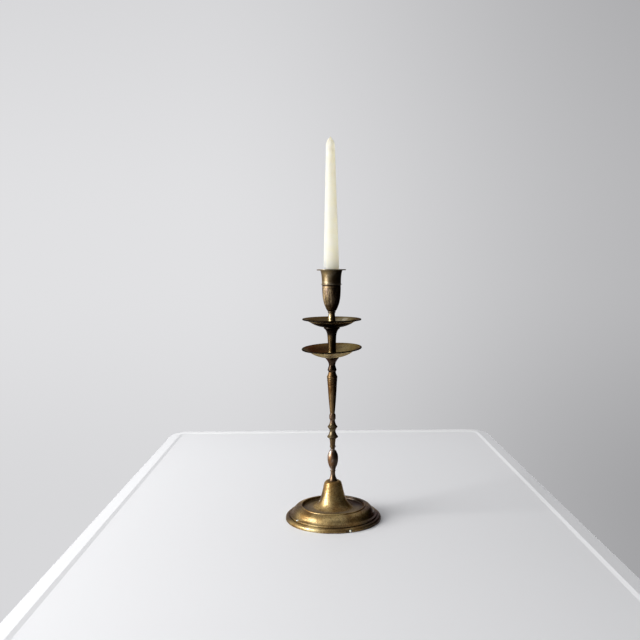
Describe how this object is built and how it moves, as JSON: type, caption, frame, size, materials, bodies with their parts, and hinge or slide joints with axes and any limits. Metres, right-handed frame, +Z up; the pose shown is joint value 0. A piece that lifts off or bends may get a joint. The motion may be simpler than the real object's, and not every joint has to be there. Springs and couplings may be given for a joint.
{
  "type": "candlestick",
  "caption": "Tall turned brass candlestick with a domed foot, loose drip pans, a cup with a lift-out nozzle, and a tapered ivory candle.",
  "frame": {"origin": "centre of the foot on the plane that it stands on", "axes": "+Z up along the stem; -Y towards the viewer of the picture; +X to the viewer's right"},
  "size_m": [0.13, 0.13, 0.5156],
  "materials": {
    "foot_brass": "aged, satin",
    "aged_brass": "aged, satin",
    "dark_brass": "dark patina, satin",
    "red_brass": "reddish patina, satin",
    "old_steel": "dull",
    "ivory_wax": "waxy, satin",
    "cotton": "matte"
  },
  "bodies": {
    "stand": {"foot": "foot_brass", "clamp_nut": "old_steel", "clamp_washer": "old_steel", "tie_rod": "old_steel", "stem_collar": "dark_brass", "vase_knop": "red_brass", "short_column": "aged_brass", "ring_knop": "aged_brass", "tapered_column": "red_brass", "stem_head": "aged_brass", "pan_spool": "aged_brass", "cup_neck": "aged_brass", "candle_cup": "dark_brass"},
    "lower_pan": {"lower_drip_pan": "dark_brass"},
    "upper_pan": {"upper_drip_pan": "dark_brass"},
    "nozzle_sleeve": {"nozzle": "aged_brass"},
    "candle": {"candle_wax": "ivory_wax", "candle_wick": "cotton"}
  },
  "joints": [
    {"name": "lower_pan_turn", "type": "hinge", "parent": "stand", "child": "lower_pan", "pos_m": [0, 0, 0.2226], "axis": [0, 0, 1], "continuous": true},
    {"name": "upper_pan_turn", "type": "hinge", "parent": "stand", "child": "upper_pan", "pos_m": [0, 0, 0.2628], "axis": [0, 0, 1], "continuous": true},
    {"name": "nozzle_lift", "type": "slide", "parent": "stand", "child": "nozzle_sleeve", "axis": [0, 0, 1], "range_m": [0, 0.03]},
    {"name": "candle_lift", "type": "slide", "parent": "nozzle_sleeve", "child": "candle", "axis": [0, 0, 1], "range_m": [0, 0.06]}
  ]
}
